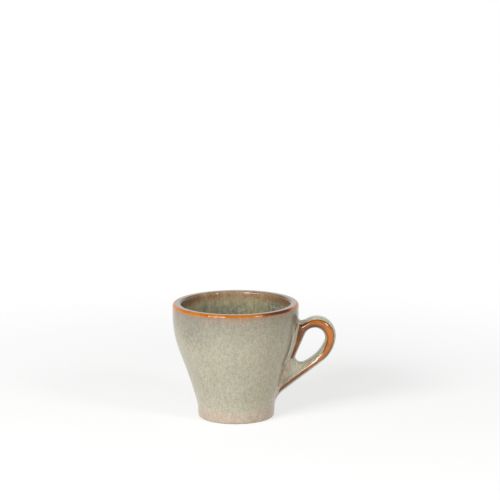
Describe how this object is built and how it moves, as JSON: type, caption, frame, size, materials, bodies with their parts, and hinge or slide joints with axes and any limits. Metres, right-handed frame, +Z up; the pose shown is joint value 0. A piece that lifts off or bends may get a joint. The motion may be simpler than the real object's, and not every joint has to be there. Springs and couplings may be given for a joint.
{
  "type": "espresso cup",
  "caption": "Small flared stoneware espresso cup with a thick flat rim, low foot and a teardrop loop handle, in a pale speckled reactive glaze that breaks to amber on its edges.",
  "frame": {"origin": "on the cup's turning axis, in the plane that the foot ring stands on", "axes": "+Z up along the turning axis, +X towards the handle, +Y away from the viewer who sees the handle on the right"},
  "size_m": [0.0854, 0.066, 0.0607],
  "materials": {
    "cup_glaze": "glossy pale grey-green reactive glaze, speckled, amber where it thins on the rim",
    "handle_glaze": "glossy reactive glaze, amber brown on the ridges and pale on the crowned faces",
    "slip_glaze": "satin pale beige glaze over slip, lightly speckled"
  },
  "bodies": {
    "root": {"cup_body": "cup_glaze", "handle": "handle_glaze", "handle_slip": "slip_glaze"}
  },
  "joints": []
}
